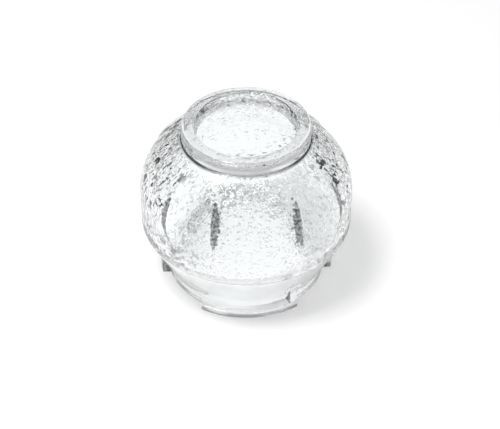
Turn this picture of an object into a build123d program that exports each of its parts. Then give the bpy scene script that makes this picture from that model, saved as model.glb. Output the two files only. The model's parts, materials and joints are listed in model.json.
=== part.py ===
from build123d import *

import os
from math import asin, cos, hypot, radians, sin, sqrt, tan

# Oven lamp glass cover: one glass moulding that twists into a lamp holder over the bulb.
# Sizes are in millimetres. The cover stands on its open mouth, closed end up, with the axis on Z.

# Body
overall_height = 58.0
body_radius = 35.0
body_edge_height = 20.8
body_edge_bevel = 0.6
crown_radius_over_body = 4.0
shoulder_round = 19.0

# Neck and mouth
neck_radius = 26.6
neck_height = 3.4
mouth_radius = 22.6

# End disc with its dished panel
disc_radius = 21.0
disc_height = 5.0
disc_edge_bevel = 1.1
disc_foot_bevel = 0.6
panel_radius = 16.6
panel_depth = 4.0
panel_draft = 8.0
panel_edge_bevel = 0.5

# Glass thickness, and where the hollow inside turns from the shoulder to the crown
wall = 4.0
crown_thickness = 4.0
hollow_turn = 36.0

# Finger lobes, two pairs of round swellings on the shoulder
lobe_height = 1.0
lobe_radius_under_shoulder = 2.5
lobe_slope = 30.0
lobe_spread = 39.2
lobe_turn = 3.5

# Bayonet lugs: two wide and two narrow, each with a ramp and a stop at its anticlockwise end
lug_reach = 2.7
wide_lug_width = 31.8
narrow_lug_width = 12.0
lug_lead_height = 2.3
lug_ramp_rise = 1.0
stop_width = 2.7
stop_height = 10.0

# Places that follow from the sizes above
disc_foot_height = overall_height - disc_height
panel_floor_height = overall_height - panel_depth
panel_floor_radius = panel_radius - panel_depth * tan(radians(panel_draft))
crown_radius = body_radius + crown_radius_over_body
crown_centre_height = disc_foot_height - sqrt(crown_radius**2 - disc_radius**2)
crown_under_height = panel_floor_height - crown_thickness
crown_under_radius = sqrt((crown_radius - wall) ** 2 - (crown_under_height - crown_centre_height) ** 2)
shoulder_centre_radius = body_radius - shoulder_round
shoulder_centre_height = crown_centre_height + sqrt(
    (crown_radius - shoulder_round) ** 2 - shoulder_centre_radius**2
)
hollow_radius = body_radius - wall
hollow_turn_radius = shoulder_centre_radius + (shoulder_round - wall) * cos(radians(hollow_turn))
hollow_turn_height = shoulder_centre_height + (shoulder_round - wall) * sin(radians(hollow_turn))
lug_radius = neck_radius + lug_reach
lobe_radius = shoulder_round - lobe_radius_under_shoulder
lobe_lift = lobe_radius_under_shoulder + lobe_height
lobe_centre_radius = shoulder_centre_radius + lobe_lift * cos(radians(lobe_slope))
lobe_centre_height = shoulder_centre_height + lobe_lift * sin(radians(lobe_slope))

# The inside of the flare is parallel to its outside, one wall thickness in
flare_run = body_radius - neck_radius
flare_rise = body_edge_height - neck_height
flare_shift = wall * hypot(flare_run, flare_rise) / flare_run
inner_flare_top = body_edge_height + flare_shift - wall * flare_rise / flare_run
inner_flare_low = neck_height + flare_shift - (neck_radius - mouth_radius) * flare_rise / flare_run


def crown_at(radius):
    """The place on the round crown at a distance from the axis."""
    return (radius, crown_centre_height + sqrt(crown_radius**2 - radius**2))


def corner_at(section, corner):
    """The corner of a section that is nearest to a place given as radius and height."""
    return section.vertices().sort_by(lambda v: hypot(v.X - corner[0], v.Y - corner[1]))[0]


def ramp_outline(width):
    """Outline of a lug's ramp seen from outside, rising from its lead end on the left."""
    half = width / 2
    Polyline(
        (-half, 0),
        (half, 0),
        (half, lug_lead_height + lug_ramp_rise),
        (-half, lug_lead_height),
        close=True,
    )


def stop_outline(width):
    """Outline of a lug's stop seen from above: a radial face on the left, a plain end on the right."""
    half = width / 2
    stop_face_angle = asin((half - stop_width) / lug_radius)
    Polyline((0, 0), (half, -half / tan(stop_face_angle)), (half, 0), close=True)


# One lobe, a ball that stands a little out of the shoulder
with BuildPart(Plane((lobe_centre_radius, 0, lobe_centre_height))) as finger_lobe:
    Sphere(lobe_radius)

# One wide and one narrow lug, standing on the mouth's plane in front of the axis
with BuildPart() as wide_lug:
    with BuildSketch(Plane.XZ) as wide_ramp:
        with BuildLine():
            ramp_outline(wide_lug_width)
        make_face()
    extrude(amount=lug_radius)
    with BuildSketch(Plane.XY) as wide_stop:
        with BuildLine():
            stop_outline(wide_lug_width)
        make_face()
    extrude(amount=stop_height)
    Cylinder(lug_radius, 2 * stop_height, mode=Mode.INTERSECT)
    Cylinder((mouth_radius + neck_radius) / 2, 2 * stop_height, mode=Mode.SUBTRACT)

with BuildPart() as narrow_lug:
    with BuildSketch(Plane.XZ) as narrow_ramp:
        with BuildLine():
            ramp_outline(narrow_lug_width)
        make_face()
    extrude(amount=lug_radius)
    with BuildSketch(Plane.XY) as narrow_stop:
        with BuildLine():
            stop_outline(narrow_lug_width)
        make_face()
    extrude(amount=stop_height)
    Cylinder(lug_radius, 2 * stop_height, mode=Mode.INTERSECT)
    Cylinder((mouth_radius + neck_radius) / 2, 2 * stop_height, mode=Mode.SUBTRACT)

# The whole moulding
with BuildPart() as glass_cover:
    # Outer form, turned about the axis
    with BuildSketch(Plane.XZ) as outer_section:
        with BuildLine():
            Polyline(
                (0, 0),
                (neck_radius, 0),
                (neck_radius, neck_height),
                (body_radius, body_edge_height),
                crown_at(body_radius),
            )
            ThreePointArc(
                crown_at(body_radius),
                crown_at((body_radius + disc_radius) / 2),
                crown_at(disc_radius),
            )
            Polyline(
                (disc_radius, disc_foot_height),
                (disc_radius, overall_height),
                (panel_radius, overall_height),
                (panel_floor_radius, panel_floor_height),
                (0, panel_floor_height),
                (0, 0),
            )
        make_face()
        fillet(corner_at(outer_section, crown_at(body_radius)), shoulder_round)
        chamfer(corner_at(outer_section, (body_radius, body_edge_height)), body_edge_bevel)
        chamfer(corner_at(outer_section, (disc_radius, disc_foot_height)), disc_foot_bevel)
        chamfer(corner_at(outer_section, (disc_radius, overall_height)), disc_edge_bevel)
        chamfer(corner_at(outer_section, (panel_radius, overall_height)), panel_edge_bevel)
    revolve(axis=Axis.Z)

    # Lobes
    with PolarLocations(0, 2, start_angle=-90 + lobe_turn - lobe_spread):
        add(finger_lobe.part)
    with PolarLocations(0, 2, start_angle=-90 + lobe_turn + lobe_spread):
        add(finger_lobe.part)

    # Lugs
    with PolarLocations(0, 2):
        add(wide_lug.part)
    with PolarLocations(0, 2, start_angle=90):
        add(narrow_lug.part)

    # Hollow inside, turned about the axis
    with BuildSketch(Plane.XZ) as inner_section:
        with BuildLine():
            Polyline(
                (0, 0),
                (mouth_radius, 0),
                (mouth_radius, inner_flare_low),
                (hollow_radius, inner_flare_top),
                (hollow_radius, shoulder_centre_height),
                (hollow_turn_radius, hollow_turn_height),
                (crown_under_radius, crown_under_height),
                (0, crown_under_height),
                close=True,
            )
        make_face()
    revolve(axis=Axis.Z, mode=Mode.SUBTRACT)

glass_cover.part.label = "glass_cover"

os.makedirs("parts", exist_ok=True)
export_step(glass_cover.part, "parts/glass_cover.step")
print("glass cover:", glass_cover.part.bounding_box(), "volume", round(glass_cover.part.volume))
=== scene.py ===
# %% [markdown]
# # Oven lamp cover in clear moulded glass
# The part is one piece of glass that covers an oven lamp. It stands on its open mouth: a short
# neck with bayonet lugs, a flare, a wide stippled body with finger lobes, and a dished disc on
# top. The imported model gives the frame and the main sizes, so it is loaded first. A sight line
# crosses many glass surfaces on its way through, so rays get more bounces than usual.

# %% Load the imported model
import json
import math

import bmesh
import bpy
import numpy as np
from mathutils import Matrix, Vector, noise

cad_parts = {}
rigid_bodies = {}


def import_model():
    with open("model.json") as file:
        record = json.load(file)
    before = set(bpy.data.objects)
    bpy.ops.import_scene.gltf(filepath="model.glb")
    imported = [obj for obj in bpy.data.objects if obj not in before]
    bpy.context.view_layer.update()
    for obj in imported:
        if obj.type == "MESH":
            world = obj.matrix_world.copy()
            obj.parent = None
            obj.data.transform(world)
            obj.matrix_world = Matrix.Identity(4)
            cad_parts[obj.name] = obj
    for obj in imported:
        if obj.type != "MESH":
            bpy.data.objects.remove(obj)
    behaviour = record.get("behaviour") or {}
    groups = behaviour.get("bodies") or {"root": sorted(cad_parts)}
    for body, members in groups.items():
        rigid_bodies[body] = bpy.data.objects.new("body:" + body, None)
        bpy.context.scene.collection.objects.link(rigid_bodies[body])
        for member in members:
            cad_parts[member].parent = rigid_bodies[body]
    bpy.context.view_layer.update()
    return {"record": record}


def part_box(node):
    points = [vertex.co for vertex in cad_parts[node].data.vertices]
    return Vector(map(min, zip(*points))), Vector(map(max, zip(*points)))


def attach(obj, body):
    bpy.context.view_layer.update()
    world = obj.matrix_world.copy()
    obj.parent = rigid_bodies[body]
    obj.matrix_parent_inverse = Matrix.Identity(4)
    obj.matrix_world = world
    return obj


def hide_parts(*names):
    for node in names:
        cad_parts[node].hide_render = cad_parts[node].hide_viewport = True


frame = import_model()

mm = 0.001
ray_bounces = 16
bpy.context.scene.view_settings.view_transform = "Standard"
bpy.context.scene.cycles.max_bounces = ray_bounces
bpy.context.scene.cycles.transmission_bounces = ray_bounces
bpy.context.scene.cycles.glossy_bounces = ray_bounces

# %% [markdown]
# ## Sizes
# The glass is drawn as one section that is turned about the upright axis. The box and the
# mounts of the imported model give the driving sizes, in millimetres. The rest are the form's own
# sizes, the same as the solid's: where the flare, the shoulder and the disc begin, and the wall.

# %% Sizes of the section
mounts = {mount["name"]: mount["dims"] for mount in frame["record"]["mounts"]}
cover_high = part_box("glass_cover")[1]
overall_height = cover_high[2] / mm
body_radius = cover_high[0] / mm
mouth_radius = mounts["mouth"]["r_mm"]
lug_radius = mounts["bayonet"]["r_mm"]

wall, crown_thickness = 4.0, 4.0
neck_radius, neck_height = 26.6, 3.4
body_edge_height = 20.8
disc_radius, disc_height = 21.0, 5.0
panel_radius, panel_depth, panel_draft = 16.6, 4.0, 8.0
crown_radius_over_body, shoulder_round = 4.0, 19.0

disc_foot_height = overall_height - disc_height
panel_floor = overall_height - panel_depth
panel_floor_radius = panel_radius - panel_depth * math.tan(math.radians(panel_draft))
crown_radius = body_radius + crown_radius_over_body
crown_centre = disc_foot_height - math.sqrt(crown_radius**2 - disc_radius**2)
print("crown centre height:", round(crown_centre, 2), "panel floor:", round(panel_floor, 2))

# %% [markdown]
# ## The section line
# Moulded glass has no sharp edge anywhere, because it sets from a melt. A bevel on a turned
# solid would round every edge alike. So the section is a line of corners that each have their own
# rounding, and the highlights along those roundings are what the eye reads as thick glass. The
# shoulder is a small arc that runs into a large one.

# %% Rounded line
bend_degrees = 11


def rounded_line(corners):
    """Points along corners given as (radius, height, rounding, step to the next corner)."""
    places = [np.array(corner[:2], float) for corner in corners]
    points = [places[0]]
    for index in range(1, len(corners)):
        corner, rounding = places[index], corners[index][2]
        bend = [corner]
        if rounding and index < len(corners) - 1:
            back, ahead = places[index - 1] - corner, places[index + 1] - corner
            back, ahead = back / np.linalg.norm(back), ahead / np.linalg.norm(ahead)
            half = math.acos(np.clip(back @ ahead, -1, 1)) / 2
            middle = (back + ahead) / np.linalg.norm(back + ahead)
            centre = corner + middle * rounding / math.sin(half)
            start = corner + back * rounding / math.tan(half) - centre
            end = corner + ahead * rounding / math.tan(half) - centre
            sweep = math.pi - 2 * half
            count = max(3, math.ceil(math.degrees(sweep) / bend_degrees))
            bend = [
                centre
                + (start * math.sin(sweep * (1 - k / count)) + end * math.sin(sweep * k / count))
                / math.sin(sweep)
                for k in range(count + 1)
            ]
        run = np.linalg.norm(bend[0] - points[-1])
        pieces = max(1, round(run / corners[index - 1][3]))
        start = points[-1]
        points += [start + (bend[0] - start) * k / pieces for k in range(1, pieces)]
        points += bend
    return np.array(points)


print("points in a bend:", math.ceil(90 / bend_degrees) + 1, "for a right angle")


# %% Shoulder
def shoulder_arc(low_radius, step):
    """Corners of the shoulder, from a radius near the axis outwards and down to the upright body."""
    edge_centre_radius = body_radius - shoulder_round
    reach = crown_radius - shoulder_round
    edge_centre = crown_centre + math.sqrt(reach**2 - edge_centre_radius**2)
    turn = math.asin(edge_centre_radius / reach)
    start = math.asin(low_radius / crown_radius)
    count = max(2, round((turn - start) * crown_radius / step))
    line = [
        (crown_radius * math.sin(a), crown_centre + crown_radius * math.cos(a))
        for a in np.linspace(start, turn, count + 1)
    ]
    count = max(2, round((math.pi / 2 - turn) * shoulder_round / step))
    line += [
        (edge_centre_radius + shoulder_round * math.sin(a), edge_centre + shoulder_round * math.cos(a))
        for a in np.linspace(turn, math.pi / 2, count + 1)[1:]
    ]
    return [(radius, height, 0.0, step) for radius, height in line]


shoulder_step, disc_groove = 0.8, 0.1
body_line = shoulder_arc(disc_radius + disc_groove, shoulder_step)
print("corners on the shoulder:", len(body_line))

# %% Outer section
# Each corner is (radius, height, rounding, step to the next corner).
coarse, medium, edge_step, lip_step, foot_step = 1.2, 0.6, 0.5, 0.4, 0.3
panel_strip, mouth_start = 2.0, 4.0
brow_in, brow_drop = 0.3, 2.4
lip_in, lip_rise = 0.1, 0.7
foot_in, foot_rise = 0.5, 0.2

disc_line = [
    (0.0, panel_floor, 0.0, coarse),
    (panel_floor_radius - panel_strip, panel_floor, 0.0, lip_step),
    (panel_floor_radius, panel_floor, 0.5, lip_step),
    (panel_radius, overall_height, 0.8, medium),
    (disc_radius - brow_in, overall_height, 1.0, edge_step),
    (disc_radius, overall_height - brow_drop, 4.0, edge_step),
    (disc_radius - lip_in, disc_foot_height + lip_rise, 0.5, foot_step),
    (disc_radius - foot_in, disc_foot_height + foot_rise, 0.3, foot_step),
]
neck_line = [
    (body_radius, body_edge_height, 0.9, edge_step),
    (neck_radius, neck_height, 2.0, medium),
    (neck_radius, 0.0, 0.6, medium),
    (mouth_radius, 0.0, 0.6, coarse),
    (mouth_radius, mouth_start, 0.0, coarse),
]
outer = rounded_line(disc_line + body_line + neck_line)
print("section points outside:", len(outer))

# %% [markdown]
# ## The hollow
# The inside of the wall shows only through the glass, so its form is a guess: one wall thickness
# in from the outside. A plunger presses the inside of such glass and has to slide out again, so
# the hollow is softer than the outside. An offset of the outer line would copy every corner, so
# the hollow has a few corners of its own and is smoothed. The corner under the crown keeps its
# form. It lies a little further out than the solid's, so that it doesn't show through the panel.

# %% Inner section
hollow_step, hollow_turn_step = 1.6, 1.2
hollow_turn, crown_corner_out = math.radians(36), 1.4
flare_run, flare_rise = body_radius - neck_radius, body_edge_height - neck_height
flare_shift = wall * math.hypot(flare_run, flare_rise) / flare_run
inner_flare_top = body_edge_height + flare_shift - wall * flare_rise / flare_run
inner_flare_low = neck_height + flare_shift - (neck_radius - mouth_radius) * flare_rise / flare_run
crown_under = panel_floor - crown_thickness
crown_under_radius = math.sqrt((crown_radius - wall) ** 2 - (crown_under - crown_centre) ** 2)
shoulder_centre_radius = body_radius - shoulder_round
shoulder_rise = math.sqrt((crown_radius - shoulder_round) ** 2 - shoulder_centre_radius**2)
shoulder_centre = crown_centre + shoulder_rise
hollow_round = shoulder_round - wall
hollow_turn_radius = shoulder_centre_radius + hollow_round * math.cos(hollow_turn)
hollow_turn_height = shoulder_centre + hollow_round * math.sin(hollow_turn)
inner = rounded_line(
    [
        (mouth_radius, inner_flare_low, 0.0, hollow_step),
        (body_radius - wall, inner_flare_top, 3.0, hollow_step),
        (body_radius - wall, shoulder_centre, 14.0, hollow_step),
        (hollow_turn_radius, hollow_turn_height, 18.0, hollow_turn_step),
        (crown_under_radius + crown_corner_out, crown_under, 2.0, hollow_step),
        (0.0, crown_under, 0.0, hollow_step),
    ]
)
smooth_below, smooth_fade, smooth_passes = 1.0, 4.0, 6
soft = np.clip((crown_under - smooth_below - inner[1:-1, 1:]) / smooth_fade, 0, 1)
for _ in range(smooth_passes):
    inner[1:-1] += soft * ((inner[:-2] + 2 * inner[1:-1] + inner[2:]) / 4 - inner[1:-1])
section = np.vstack([outer, inner])
is_outer = np.arange(len(section)) < len(outer)
print("section points inside:", len(inner))

# %% [markdown]
# ## Turning the section and raising the lobes
# The section is turned into a ring of columns. A finger lobe is a long pad that swells out of the
# wall: it is highest at its middle and fades out at both ends, and its two long sides fall away in
# steep flanks. A boolean with a ball would leave a seam, so each point of the body is pushed along
# its own normal by the lobe's height there. The flanks also get leaves of painted shade, narrow at
# their ends and paler at the back, which the glass material uses later as a dark tint.

# %% Turned points
columns, edge_clear = 400, 0.5
turns = np.arange(columns) * 2 * math.pi / columns
around = np.stack([np.cos(turns), np.sin(turns)], axis=1)
tangent = np.gradient(section, axis=0)
tangent /= np.linalg.norm(tangent, axis=1, keepdims=True)
normal = np.stack([-tangent[:, 1], tangent[:, 0]], axis=1)


def turned(line):
    """A line of (outwards, upwards) pairs turned about the axis, as points by row and column."""
    flat = line[:, None, :1] * around[None]
    return np.concatenate([flat, np.repeat(line[:, None, 1:], columns, axis=1)], axis=2)


points, normals = turned(section), turned(normal)
body_rows = is_outer & (section[:, 1] > body_edge_height + edge_clear)
body_rows &= section[:, 1] < disc_foot_height
print("rows and columns:", points.shape[:2], "rows on the body:", int(body_rows.sum()))

# %% Lobes
lobe_turn, lobe_spread, lobe_lean, lobe_half_angle = 3.5, 39.2, 0.18, 13.8
lobe_height, lobe_flank, least_slope = 0.75, 4.0, 0.01
lobe_middle, lobe_half_length = 21.0, 15.0
# The leaf numbers shape the painted shade on the flanks: where it rises, fades and ends.
outer_leaf_drop, inner_leaf_drop = 4.0, {-1: -1.0, 1: 0.6}
leaf_foot, leaf_crest, leaf_taper, leaf_end = 1.3, 8.0, 0.7, 2.2
leaf_top, leaf_top_fade, outer_leaf, back_leaf = 0.5, 0.4, 1.6, 0.25

steps = np.linalg.norm(np.diff(section, axis=0, append=section[-1:]), axis=1)
from_edge = np.hypot(outer[:, 0] - body_radius, outer[:, 1] - body_edge_height)
along = np.cumsum(steps[::-1])[::-1]
along = (along - along[np.argmin(from_edge)])[:, None]
radius = section[:, :1]


def lobe_form(front, side):
    """How far one lobe lifts each point, and how much painted shade each point gets on its two flanks.
    """
    angle = front + side * (lobe_spread + lobe_lean * (along - lobe_middle))
    swing = (turns[None] - np.radians(angle) + math.pi) % (2 * math.pi) - math.pi
    length = np.clip(np.abs(along - lobe_middle) / lobe_half_length, 0, 1)
    swell = 1 - length**2
    edge = math.radians(lobe_half_angle) * radius * np.sqrt(1 - length**4)
    slope = lobe_flank * swell
    climb = np.clip((edge + slope - np.abs(radius * swing)) / (slope + least_slope), 0, 1)

    outer_flank = swing * side > 0
    drop = np.where(outer_flank, outer_leaf_drop, inner_leaf_drop[side])
    rank = (along - lobe_middle + drop) / lobe_half_length
    reach = np.clip(np.abs(rank), 0, 1) ** 2
    leaf = np.minimum(climb * leaf_foot - leaf_taper * reach, (1 - climb) * leaf_crest)
    leaf = np.clip(leaf, 0, 1) * (1 - leaf_top_fade * np.clip(rank / leaf_top, 0, 1))
    leaf = leaf * np.clip(leaf_end * (1 - reach) - 1, 0, 1) * (swell > 0)
    leaf = leaf * np.where(outer_flank, outer_leaf, 1.0) * (1.0 if front < 0 else back_leaf)
    return lobe_height * swell * climb**2 * (3 - 2 * climb), leaf


lobe_fronts = (-90 + lobe_turn, 90 + lobe_turn)
forms = [lobe_form(front, side) for front in lobe_fronts for side in (-1, 1)]
rise = np.max([form[0] for form in forms], axis=0) * body_rows[:, None]
# Painted shade: how dark the glass is tinted on the lobes' flanks.
flank_painted_shade = np.max([form[1] for form in forms], axis=0) * body_rows[:, None]
pad = rise / lobe_height
points += normals * rise[:, :, None]
print("lobes stand out by", round(float(rise.max()), 2), "mm")

# %% [markdown]
# ## Ripple and the panel's ragged edge
# A moulded surface is never a perfect figure of revolution. A slow ripple of a few hundredths of
# a millimetre is enough to make the reflections swim. The corner between the panel's floor and
# its wall is uneven on this cover, so a finer noise moves it in and out. A Displace modifier
# would need a texture for each, and Blender's noise function does both here, the same at each run.

# %% Ripple and ragged edge
ripple_size, ripple_depth, ripple_start = 7.0, 0.05, 2
ripple = np.array([[noise.noise(Vector(p) / ripple_size) for p in row] for row in points])
points += normals * (ripple * ripple_depth)[:, :, None] * (section[:, :1, None] > ripple_start)

ragged_size, ragged_depth, ragged_reach = 1.4, 0.5, 1.8
from_corner = np.hypot(section[:, 0] - panel_floor_radius, section[:, 1] - panel_floor)
near_corner = np.clip(1 - from_corner / ragged_reach, 0, 1) * is_outer
corner_spots = [Vector((*spot * panel_floor_radius, 0)) for spot in around]
ragged = np.array([noise.noise(spot / ragged_size) for spot in corner_spots])
shift = near_corner[:, None] * ragged[None] * ragged_depth
points[:, :, :2] += shift[:, :, None] * around[None]
print("panel edge wanders by", round(float(np.abs(ragged).max() * ragged_depth), 2), "mm")

# %% [markdown]
# ## The mesh of the body
# A Screw modifier could turn a plain section, but the lobes and the ripple differ from column to
# column, so the mesh is made from the points. Rows and columns become quads, and the two ends
# close with fans at the axis. Faces look outwards, into the air, on both sides of the wall,
# because a glass shader bends light by them.

# %% Body mesh
def ring_mesh(name, rows):
    """A closed mesh from rows of points, whose first and last rows lie on the axis."""
    ends = [rows[0].mean(axis=0), rows[-1].mean(axis=0)]
    corners = np.vstack([ends[:1], rows[1:-1].reshape(-1, 3), ends[1:]]) * mm
    last, last_row = len(corners) - 1, len(rows) - 2

    def at(row, column):
        return 1 + (row - 1) * columns + column % columns

    faces = [(0, at(1, c), at(1, c + 1)) for c in range(columns)]
    for row in range(1, last_row):
        faces += [
            (at(row, c), at(row + 1, c), at(row + 1, c + 1), at(row, c + 1)) for c in range(columns)
        ]
    faces += [(at(last_row, c), last, at(last_row, c + 1)) for c in range(columns)]
    mesh = bpy.data.meshes.new(name)
    mesh.from_pydata(corners.tolist(), [], faces)
    mesh.validate()
    return mesh


glass = bpy.data.objects.new("glass", ring_mesh("glass", points))
for name, values in (("flank_painted_shade", flank_painted_shade), ("pad", pad)):
    mask = glass.data.attributes.new(name, "FLOAT", "POINT")
    mask.data.foreach_set("value", np.concatenate([[0.0], values[1:-1].ravel(), [0.0]]))
bpy.context.scene.collection.objects.link(glass)
print("body faces:", len(glass.data.polygons))

# %% [markdown]
# ## Bayonet lugs
# Two wide and two narrow lugs stand on the neck. Each has a ramp that draws the cover tight as
# it turns, and a stop at its anticlockwise end. They are bent blocks with bevelled edges. Left as
# blocks inside the neck they would show as false surfaces in clear glass, so a boolean union makes
# them one piece of glass with the neck. Slivers that the union leaves are merged afterwards.

# %% Lugs
lug_widths = (31.8, 12.0, 31.8, 12.0)
lead_height, ramp_rise, stop_width, stop_height = 2.3, 1.0, 2.7, 10.0
lug_floor, lug_root, lug_step = 0.03, (mouth_radius + neck_radius) / 2, 0.6
soft_edge, soft_edge_steps, soft_edge_angle = 0.4 * mm, 3, math.radians(40)
lug_set = bpy.data.collections.new("lug_blocks")


def lug_block(name, left, right, left_top, right_top, angle, root_shift=0.0):
    """A bent block on the neck between two distances from the lug's middle, turned to an angle.

    The root shift moves the left end's foot towards the middle, which makes that end radial."""
    count = max(2, round((right - left) / lug_step))
    corners, faces = [], []
    for k in range(count + 1):
        across = left + (right - left) * k / count
        top = left_top + (right_top - left_top) * k / count
        root_across = across - root_shift * (1 - k / count)
        near = math.sqrt(lug_radius**2 - across**2)
        far = math.sqrt(lug_root**2 - root_across**2)
        for depth, height in ((near, lug_floor), (near, top), (far, top), (far, lug_floor)):
            side = across if depth == near else root_across
            turned_x = side * math.cos(angle) + depth * math.sin(angle)
            turned_y = side * math.sin(angle) - depth * math.cos(angle)
            corners.append((turned_x * mm, turned_y * mm, height * mm))
    for k in range(count):
        for side in range(4):
            a, b = 4 * k + side, 4 * k + (side + 1) % 4
            faces.append((a, a + 4, b + 4, b))
    faces += [(0, 1, 2, 3), tuple(4 * count + side for side in (3, 2, 1, 0))]
    mesh = bpy.data.meshes.new(name)
    mesh.from_pydata(corners, [], faces)
    block = bpy.data.objects.new(name, mesh)
    lug_set.objects.link(block)
    bevel = block.modifiers.new("soft_edges", "BEVEL")
    bevel.width, bevel.segments, bevel.angle_limit = soft_edge, soft_edge_steps, soft_edge_angle


lug_places = [(math.radians(90 * quarter), width / 2) for quarter, width in enumerate(lug_widths)]
for quarter, (angle, half) in enumerate(lug_places):
    lug_block(f"ramp_{quarter}", -half, half, lead_height, lead_height + ramp_rise, angle)
    stop_face = half - stop_width
    stop_lean = stop_face * (1 - lug_root / lug_radius)
    lug_block(f"stop_{quarter}", stop_face, half, stop_height, stop_height, angle, stop_lean)
bpy.context.scene.collection.children.link(lug_set)

# %% Join the lugs to the neck
union = glass.modifiers.new("lugs", "BOOLEAN")
union.operation, union.solver = "UNION", "MANIFOLD"
union.operand_type, union.collection = "COLLECTION", lug_set
evaluated = glass.evaluated_get(bpy.context.evaluated_depsgraph_get())
joined = bpy.data.meshes.new_from_object(evaluated)
glass.modifiers.clear()
glass.data = joined
glass.data.name = "glass"
for block in list(lug_set.objects):
    bpy.data.objects.remove(block)
bpy.data.collections.remove(lug_set)
print("faces after the union:", len(joined.polygons))

# %% Merge the slivers
sliver, crease = 0.001 * mm, math.radians(38)
cleaned = bmesh.new()
cleaned.from_mesh(joined)
bmesh.ops.remove_doubles(cleaned, verts=cleaned.verts, dist=sliver)
bmesh.ops.dissolve_degenerate(cleaned, edges=cleaned.edges, dist=sliver)
print("open edges:", sum(not edge.is_manifold for edge in cleaned.edges))
cleaned.to_mesh(joined)
cleaned.free()
joined.shade_smooth()
joined.set_sharp_from_angle(angle=crease)
joined.calc_loop_triangles()
print("glass triangles:", len(joined.loop_triangles))

# %% [markdown]
# ## Masks: where the stipple lies
# The mould is stippled on the body and on the panel's wall, and more faintly on the panel's floor
# and the disc's ring. The disc's side, the neck and the lugs are smooth. On the body the stipple
# begins just above the low edge, and it is flatter on the lobes. A painted texture would need an
# unwrapped mesh and a large image, so a value stored on each point says how much stipple it has.
# A span gives two distances in millimetres, where a mask is still nothing and where it is full.

# %% Mask helpers
place = np.empty(len(joined.vertices) * 3)
joined.vertices.foreach_get("co", place)
x, y, up = place.reshape(-1, 3).T / mm
out, aside = np.hypot(x, y), np.abs(x)
over_edge, under_foot = up - body_edge_height, disc_foot_height - up
over_panel, under_top = up - panel_floor, overall_height - up
counted = 0.3


def fade(value, span):
    """Rises from 0 at the start of a span to 1 at its end."""
    start, end = span
    return np.clip((value - start) / (end - start), 0, 1)


def line_at(value, middle, span):
    """A line about a middle value, whose span runs inwards from its rim to its full core."""
    return fade(np.abs(value - middle), span)


def stored(name):
    """The values of one mask, point by point."""
    values = np.empty(len(joined.vertices))
    joined.attributes[name].data.foreach_get("value", values)
    return values


def store(name, *layers):
    """Keeps the strongest of some layers as one mask on the points of the glass."""
    values = np.max(layers, axis=0)
    mask = joined.attributes.new(name, "FLOAT", "POINT")
    mask.data.foreach_set("value", values)
    print("points with", name + ":", int((values > counted).sum()))


print("points to mask:", len(up))

# %% Stipple on the body
outer_side_share, outer_crown_share = 0.6, 0.5
skirt_span, body_span, foot_span, lobe_span = (0.4, 1.2), (1.2, 5.0), (-0.2, 0.7), (0.3, 0.9)
skirt_share, lobe_wear, side_span = 0.45, 0.55, (10.0, 26.0)
on_outside = out > body_radius - wall * outer_side_share
on_outside |= np.hypot(out, up - crown_centre) > crown_radius - wall * outer_crown_share
on_body = skirt_share * fade(over_edge, skirt_span)
on_body += (1 - skirt_share) * fade(over_edge, body_span)
on_body *= fade(under_foot, foot_span) * on_outside * (out > disc_radius)
on_body *= 1 - lobe_wear * fade(stored("pad"), lobe_span)
to_side = fade(aside, side_span)
print("stippled points on the body:", int((on_body > counted).sum()))

# %% Stipple on the panel
panel_slack, panel_over, wall_slack = 0.3, 0.5, 1.0
floor_span, floor_front_span, floor_skew = (4.0, 12.0), (0.0, 12.0), 0.6
wall_low_span, wall_top_span, ring_depth, ring_span = (-0.1, 0.3), (0.3, 1.2), 0.6, (0.9, 1.3)
on_panel = (np.abs(over_panel) < panel_slack) * (out < panel_floor_radius + panel_over)
on_floor = on_panel * fade(out, floor_span) * fade(x * floor_skew - y, floor_front_span)
on_wall = fade(over_panel, wall_low_span) * fade(under_top, wall_top_span)
on_wall *= (out < panel_radius + wall_slack) & (out > panel_floor_radius - wall_slack)
on_ring = (under_top < ring_depth) * fade(disc_radius - out, ring_span)

body_stipple, side_loss, floor_stipple, wall_stipple, ring_stipple = 0.78, 0.08, 0.15, 0.9, 0.3
body_layer = on_body * (body_stipple - side_loss * to_side)
store("stipple", body_layer, on_floor * floor_stipple, on_wall * wall_stipple, on_ring * ring_stipple)

# %% [markdown]
# ## Masks: painted shade, where the glass looks grey
# Clear glass on white paper shows grey wherever a pit or a steep edge bends the sight line to the
# dark part of the room. These marks give the cover its look: specks and dashes on the shoulders, a
# patch low on the left, the line at the disc's foot, and fine lines along the disc's side, the
# body's edge, the neck's rim, the ramps and the lugs' soles. To get them from the light alone, the
# mesh would need far finer relief. So they are painted shade: masks that tint the glass dark, and
# they stay in place from every side. The lugs' flat ends are marked by face, so that their rounded
# edges stay clear.

# %% Painted shade: specks and dashes
# Painted shade: specks on the body, low on both sides, on the panel's wall and on the ring, and dashes
# on the shoulders, on the panel's floor and in a patch low on the left.
low_middle, low_side_span, low_span, low_start = -2.0, (14.0, 22.0), (9.0, 3.0), (0.3, 1.0)
left_side_span, left_span, left_start = (-13.0, -18.0), (15.0, 9.0), (0.5, 2.5)
shoulder_side_span, shoulder_span = (12.0, 22.0), (30.0, 38.0)
low_sides = fade(over_edge, low_span) * fade(np.abs(x - low_middle), low_side_span)
low_sides *= on_outside * fade(over_edge, low_start)
low_left = fade(over_edge, left_span) * fade(x, left_side_span)
low_left *= on_outside * fade(over_edge, left_start) * (y < 0)
on_shoulder = on_body * fade(aside, shoulder_side_span) * fade(up, shoulder_span)

body_specks, side_specks, low_specks, wall_specks, ring_specks = 0.22, 0.3, 0.9, 0.85, 0.6
left_dashes = 0.75
body_layer = on_body * (body_specks + side_specks * to_side)
store("painted_speck_shade", body_layer, low_sides * low_specks, on_wall * wall_specks, on_ring * ring_specks)
store("painted_dash_shade", on_shoulder, on_floor, low_left * left_dashes)

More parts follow.
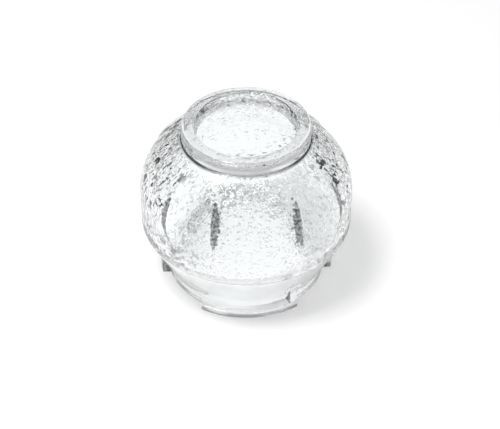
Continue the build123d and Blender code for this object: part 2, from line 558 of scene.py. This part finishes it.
# %% Painted shade lines at the disc
foot_line_in, foot_line_rise, foot_line_wide, foot_line_high = 0.3, 0.3, (0.8, 0.45), (0.75, 0.45)
foot_front_share, foot_side_span = 0.62, (6.0, 15.0)
# Painted shade line at the disc's foot, fuller towards the sides.
foot_line = line_at(out, disc_radius - foot_line_in, foot_line_wide)
foot_line *= line_at(under_foot, -foot_line_rise, foot_line_high)
foot_line *= foot_front_share + (1 - foot_front_share) * fade(aside, foot_side_span)

disc_side_drop, disc_side_high, disc_side_in = 2.0, (1.3, 0.6), (1.0, 0.5)
disc_side_out, disc_side_low = 0.2, 0.8
# Painted shade band along the disc's side.
disc_side = line_at(under_top, disc_side_drop, disc_side_high) * fade(disc_radius - out, disc_side_in)
disc_side *= (out < disc_radius + disc_side_out) & (under_foot < -disc_side_low)

# Painted shade on the ring's top, stronger at the front; its untinted outer rim reads as a pale line.
ring_back, ring_front, ring_front_span = 0.12, 0.2, (12.0, -2.0)
ring_line = on_ring * (ring_back + ring_front * fade(y, ring_front_span))
print("points on the disc's lines:", int(((foot_line > counted) | (disc_side > counted)).sum()))

# %% Painted shade lines at the body's edge, the neck and the lugs
edge_drop, edge_high, edge_in = 0.3, (0.35, 0.1), 1.2
edge_front, edge_side_loss, edge_side_span = 0.75, 0.5, (12.0, 24.0)
edge_back_share, edge_front_span = 0.2, (5.0, -10.0)
# Painted shade along the body's low edge, strongest at the front, weaker at the sides and back.
edge_line = line_at(over_edge, -edge_drop, edge_high) * (out > body_radius - edge_in)
edge_line *= edge_front - edge_side_loss * fade(aside, edge_side_span)
edge_line *= edge_back_share + (1 - edge_back_share) * fade(y, edge_front_span)

rim_high, rim_in, rim_wide, rim_clear = (1.0, 0.5), 0.2, (0.8, 0.4), 0.08
# Painted shade at the neck's rim and along the lugs' soles.
neck_rim = fade(up, rim_high) * line_at(out, neck_radius - rim_in, rim_wide) * (up > rim_clear)
sole_high, sole_in = (1.4, 0.5), (0.7, 0.3)
lug_sole = fade(up, sole_high) * fade(lug_radius - out, sole_in)

ramp_slack, root_slack, ramp_span = 0.2, 0.3, (-0.1, 0.5)
# Painted shade along the tops of the ramps, growing towards each ramp's high end.
ramp_line = np.zeros(len(up))
for angle, half in lug_places:
    across = x * math.cos(angle) + y * math.sin(angle)
    ahead = x * math.sin(angle) - y * math.cos(angle)
    ramp_top = lead_height + ramp_rise * (across + half) / (2 * half)
    on_ramp = (np.abs(up - ramp_top) < ramp_slack) & (np.abs(out - neck_radius) < root_slack)
    on_ramp &= (ahead > 0) & (across < half)
    ramp_line = np.maximum(ramp_line, on_ramp * fade(across / half, ramp_span))

ramp_grey, disc_side_grey, sole_grey, rim_grey, wall_grey, panel_grey = 0.6, 0.45, 0.6, 0.7, 0.3, 0.08
lines = [foot_line, edge_line, ramp_line * ramp_grey, disc_side * disc_side_grey]
lines += [lug_sole * sole_grey, neck_rim * rim_grey]
# All the painted shade lines, with grey on the panel's wall and floor, in one mask.
store("painted_edge_shade", *lines, on_wall * wall_grey, ring_line, on_panel * panel_grey)

# %% Painted shade on the lugs' flat ends, by face
end_facing = 0.75
middle = np.empty(len(joined.polygons) * 3)
facing = np.empty(len(joined.polygons) * 3)
joined.polygons.foreach_get("center", middle)
joined.polygons.foreach_get("normal", facing)
face_x, face_y, face_up = middle.reshape(-1, 3).T / mm
facing_x, facing_y, _ = facing.reshape(-1, 3).T
face_out = np.hypot(face_x, face_y)
sideways = np.abs(facing_y * face_x - facing_x * face_y) / np.maximum(face_out, 1)
lug_ends = (sideways > end_facing) & (face_out > neck_radius) & (face_up < stop_height)
mask = joined.attributes.new("painted_lug_end_shade", "FLOAT", "FACE")
mask.data.foreach_set("value", lug_ends.astype(float))
print("painted shade lug end faces:", int(lug_ends.sum()))

# %% [markdown]
# ## Clear glass
# Clear glass is a Principled shader with full transmission and no roughness. Real relief for the
# stipple would take millions of triangles, so it is a bump: small round pebbles from cells, pushed
# about by noise so that no two are alike. Other noises cut the painted shade masks into specks,
# dashes and clots, and crumble the painted shade leaves on the lobes' flanks. The painted shade goes
# into Base Color. The glass takes its square root at each surface, so a mark that looks grey is
# nearly black there.

# %% Node helpers
clear_glass = bpy.data.materials.new("clear_glass")
clear_glass.use_nodes = True
nodes, links = clear_glass.node_tree.nodes, clear_glass.node_tree.links
shader = nodes["Principled BSDF"]
shader.inputs["Roughness"].default_value = 0.0
shader.inputs["IOR"].default_value = 1.5
shader.inputs["Transmission Weight"].default_value = 1.0
object_place = nodes.new("ShaderNodeTexCoord").outputs["Object"]


def sums(operation, first, second, clamp=False):
    """A Math node on two sockets or numbers, in the node tree at hand."""
    node = nodes.new("ShaderNodeMath")
    node.operation, node.use_clamp = operation, clamp
    for socket, value in zip(node.inputs, (first, second)):
        if isinstance(value, (int, float)):
            socket.default_value = value
        else:
            links.new(value, socket)
    return node.outputs["Value"]


def between(value, low, high):
    """A value from 0 to 1 brought to the range from low to high."""
    return sums("ADD", sums("MULTIPLY", value, high - low), low)


def step(value, span, result=(0.0, 1.0)):
    """A smooth step of a socket over a span, from one result to the other."""
    node = nodes.new("ShaderNodeMapRange")
    node.interpolation_type = "SMOOTHSTEP"
    for name, number in zip(("From Min", "From Max", "To Min", "To Max"), (*span, *result)):
        node.inputs[name].default_value = number
    links.new(value, node.inputs["Value"])
    return node.outputs["Result"]


def grain(cells, detail, stretch=(1, 1, 1)):
    """A noise over the object, with so many cells per metre."""
    squeeze = nodes.new("ShaderNodeMapping")
    squeeze.inputs["Scale"].default_value = stretch
    cloud = nodes.new("ShaderNodeTexNoise")
    cloud.inputs["Scale"].default_value = cells
    cloud.inputs["Detail"].default_value = detail
    links.new(object_place, squeeze.inputs["Vector"])
    links.new(squeeze.outputs["Vector"], cloud.inputs["Vector"])
    return cloud.outputs


def flecks(cells, detail, cut, stretch=(1, 1, 1)):
    """The places where a noise rises above a cut, which is a span."""
    return step(grain(cells, detail, stretch)["Fac"], cut)


def marked(name):
    """The mask that is stored on the mesh under a name."""
    node = nodes.new("ShaderNodeAttribute")
    node.attribute_name = name
    return node.outputs["Fac"]


print("glass bends light by", round(shader.inputs["IOR"].default_value, 2))

# %% Pebbles of the stipple
pebbles_per_metre, pebble_push, pebble_depth, pebble_span = 560, 0.0007, 0.26 * mm, (0.15, 0.55)
fine_dent_share, quiet_patch_share = 0.35, 0.4
pushed = nodes.new("ShaderNodeMixRGB")
pushed.blend_type = "LINEAR_LIGHT"
pushed.inputs["Fac"].default_value = pebble_push
links.new(object_place, pushed.inputs["Color1"])
links.new(grain(cells=900, detail=2)["Color"], pushed.inputs["Color2"])
pebbles = nodes.new("ShaderNodeTexVoronoi")
pebbles.feature = "F1"
pebbles.inputs["Scale"].default_value = pebbles_per_metre
links.new(pushed.outputs["Color"], pebbles.inputs["Vector"])

dents = step(pebbles.outputs["Distance"], pebble_span)
fine_dents = sums("MULTIPLY", grain(cells=1500, detail=1)["Fac"], fine_dent_share)
stipple = marked("stipple")
patches = flecks(cells=220, detail=2, cut=(0.25, 0.6))
depth = sums("MULTIPLY", stipple, between(patches, low=quiet_patch_share, high=1.0))
bump = nodes.new("ShaderNodeBump")
bump.inputs["Distance"].default_value = pebble_depth
bump.inputs["Strength"].default_value = 1.0
links.new(sums("MULTIPLY", sums("ADD", dents, fine_dents), depth), bump.inputs["Height"])
links.new(bump.outputs["Normal"], shader.inputs["Normal"])
print("pebbles are about", round(1 / pebbles_per_metre / mm, 1), "mm across")

# %% Painted shade marks
clot_span, leaf_span, leaf_crumble, lug_end_grey = (0.4, 0.6), (0.32, 0.46), 1.5, 0.62
dash_floor, mottle_floor, noise_middle = 0.7, 0.7, 0.5
# Noises that break the painted shade into specks, dashes and clots.
specks = flecks(cells=820, detail=1, cut=(0.58, 0.65), stretch=(1, 1, 1.5))
dashes = flecks(cells=520, detail=1, cut=(0.59, 0.62), stretch=(1, 2.2, 1))
dashes = sums("MULTIPLY", dashes, between(patches, low=dash_floor, high=1.0))
clots = flecks(cells=330, detail=2, cut=(0.61, 0.64), stretch=(-1, 1, 0.7))
dashes = sums("MAXIMUM", dashes, sums("MULTIPLY", clots, step(stipple, clot_span)))
speck_shade = sums("MULTIPLY", specks, marked("painted_speck_shade"))
speck_shade = sums("MAXIMUM", speck_shade, sums("MULTIPLY", dashes, marked("painted_dash_shade")))

# Painted shade leaves on the lobes' flanks, with edges crumbled and mottled by noise.
crumble = sums("SUBTRACT", grain(cells=900, detail=2)["Fac"], noise_middle)
crumble = sums("MULTIPLY", crumble, leaf_crumble)
leaves = step(sums("ADD", marked("flank_painted_shade"), crumble), leaf_span)
mottle = flecks(cells=1300, detail=2, cut=(0.38, 0.62))
leaves = sums("MULTIPLY", leaves, between(mottle, low=mottle_floor, high=1.0))

# Painted shade on the lugs' flat ends.
lug_end_shade_grey = sums("MULTIPLY", marked("painted_lug_end_shade"), lug_end_grey)
edges = sums("MAXIMUM", lug_end_shade_grey, marked("painted_edge_shade"))
# All the painted shade, gathered into one grey value for the tint.
grey = sums("MAXIMUM", sums("MAXIMUM", speck_shade, leaves), edges)
print("grey marks and stipple:", len(nodes), "nodes")

# %% Tint with painted shade, and what the glass stands for
# The clear tint is the glass's own colour; the dark tint is the painted shade.
clear_tint, painted_shade_tint = (0.965, 0.98, 0.985, 1), (0.006, 0.008, 0.0075, 1)
tint = nodes.new("ShaderNodeMixRGB")
tint.inputs["Color1"].default_value = clear_tint
tint.inputs["Color2"].default_value = painted_shade_tint
links.new(grey, tint.inputs["Fac"])
links.new(tint.outputs["Color"], shader.inputs["Base Color"])

glass.data.materials.clear()
glass.data.materials.append(clear_glass)
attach(glass, "root")
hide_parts("glass_cover")
print("glass material:", len(nodes), "nodes")

# %% [markdown]
# ## Floor
# Glass shows what is round it, so the floor matters as much as the glass. It is pale paper that
# takes the cover's soft shadow. More lamp light would make it white, but would wash out the glass
# too. So the paper has a faint glow near the cover, full to the camera, half to reflections, and a
# little stronger to rays that come through the glass, because they lose some light on the way.
# Light Path tells these rays apart, and no other ray gets the glow.

# %% Floor
floor_reach, floor_drop, paper_grey = 3.0, 0.05 * mm, (0.5, 0.5, 0.5, 1)
floor_signs = [(-1, -1), (1, -1), (1, 1), (-1, 1)]
floor_corners = [(i * floor_reach, j * floor_reach, 0) for i, j in floor_signs]
floor_mesh = bpy.data.meshes.new("floor")
floor_mesh.from_pydata(floor_corners, [], [(0, 1, 2, 3)])
floor = bpy.data.objects.new("floor", floor_mesh)
floor.location.z = -floor_drop
bpy.context.scene.collection.objects.link(floor)

paper = bpy.data.materials.new("white_paper")
paper.use_nodes = True
nodes, links = paper.node_tree.nodes, paper.node_tree.links
surface = nodes["Principled BSDF"]
surface.inputs["Base Color"].default_value = paper_grey
surface.inputs["Roughness"].default_value = 1.0
surface.inputs["Specular IOR Level"].default_value = 0.0
surface.inputs["Emission Color"].default_value = (1, 1, 1, 1)
floor_mesh.materials.append(paper)
print("floor is", 2 * floor_reach, "m wide")

# %% Glow of the paper
glow_span, glow_result = (0.20, 0.40), (0.49, 0.05)
glow_reflected, glow_through_glass = 0.5, 1.22
ray = nodes.new("ShaderNodeLightPath").outputs
reflected = sums("SUBTRACT", ray["Is Glossy Ray"], ray["Is Transmission Ray"], clamp=True)
seen = sums("ADD", sums("MULTIPLY", reflected, glow_reflected), ray["Is Camera Ray"])
seen = sums("ADD", sums("MULTIPLY", ray["Is Transmission Ray"], glow_through_glass), seen)
away = nodes.new("ShaderNodeVectorMath")
away.operation = "LENGTH"
links.new(nodes.new("ShaderNodeNewGeometry").outputs["Position"], away.inputs[0])
glow = step(away.outputs["Value"], glow_span, glow_result)
links.new(sums("MULTIPLY", glow, seen), surface.inputs["Emission Strength"])
print("glow near and far:", glow_result)

# %% [markdown]
# ## Room and lamp
# The room is a grey that is dark at the horizon and paler overhead, and its dark band draws grey
# lines along the thick edges of the glass. An even white room would leave clear glass with no
# outline. To rays that passed through the glass the room is paler, so that the body stays bright.
# One soft lamp, high on the left and a little in front, throws the shadow to the right.

# %% Room
# Each sky is (end of the horizon's grey, start of the overhead grey, that grey), by upward direction.
# Color1 is the sky in the open, and Color2 the sky through the glass.
horizon_grey = (0.10, 0.103, 0.106, 1)
skies = {"Color1": (0.0, 0.9, 0.55), "Color2": (0.12, 0.6, 0.95)}
world = bpy.data.worlds.new("studio")
bpy.context.scene.world = world
world.use_nodes = True
nodes, links = world.node_tree.nodes, world.node_tree.links
direction = nodes.new("ShaderNodeSeparateXYZ")
links.new(nodes.new("ShaderNodeTexCoord").outputs["Generated"], direction.inputs["Vector"])
blend = nodes.new("ShaderNodeMixRGB")
for socket, (low_height, high_height, high_grey) in skies.items():
    shade = nodes.new("ShaderNodeValToRGB")
    horizon, overhead = shade.color_ramp.elements
    horizon.position, horizon.color = low_height, horizon_grey
    overhead.position, overhead.color = high_height, (high_grey, high_grey, high_grey, 1)
    links.new(direction.outputs["Z"], shade.inputs["Fac"])
    links.new(shade.outputs["Color"], blend.inputs[socket])
links.new(nodes.new("ShaderNodeLightPath").outputs["Is Transmission Ray"], blend.inputs["Fac"])
links.new(blend.outputs["Color"], nodes["Background"].inputs["Color"])
print("room skies:", len(skies))

# %% Lamp
lamp_place, lamp_aim = Vector((-0.20, -0.08, 0.63)), Vector((0, 0, 0.02))
lamp_size, lamp_power = 0.22, 3.8
lamp_data = bpy.data.lights.new("key", "AREA")
lamp_data.size, lamp_data.energy = lamp_size, lamp_power
lamp = bpy.data.objects.new("key", lamp_data)
lamp.location = lamp_place
lamp.rotation_euler = (lamp_aim - lamp_place).to_track_quat("-Z", "Y").to_euler()
bpy.context.scene.collection.objects.link(lamp)
print("lamp at", [round(v, 2) for v in lamp_place])

# %% [markdown]
# ## Camera
# The camera looks down at the cover from the front, at the photograph's angle, with a long lens.
# A short lens nearby would give the disc on top too much room. The shift moves the picture a
# little in its frame without turning the camera, so upright lines keep their lean.

# %% Camera
elevation, azimuth, distance = math.radians(39.95), math.radians(-2.5), 0.432
target = Vector((0, 0, 28.6 * mm))
sensor, lens, frame_shift, clip = 36.0, 93.6, (0.0076, -0.040), (0.01, 20)
camera_data = bpy.data.cameras.new("camera")
camera = bpy.data.objects.new("camera", camera_data)
bpy.context.scene.collection.objects.link(camera)
bpy.context.scene.camera = camera
level = math.cos(elevation)
back = Vector((math.sin(azimuth) * level, -math.cos(azimuth) * level, math.sin(elevation)))
camera.location = target + back * distance
camera.rotation_euler = (-back).to_track_quat("-Z", "Y").to_euler()
camera_data.sensor_width, camera_data.lens = sensor, lens
camera_data.shift_x, camera_data.shift_y = frame_shift
camera_data.clip_start, camera_data.clip_end = clip
print("camera at", [round(v, 3) for v in camera.location])
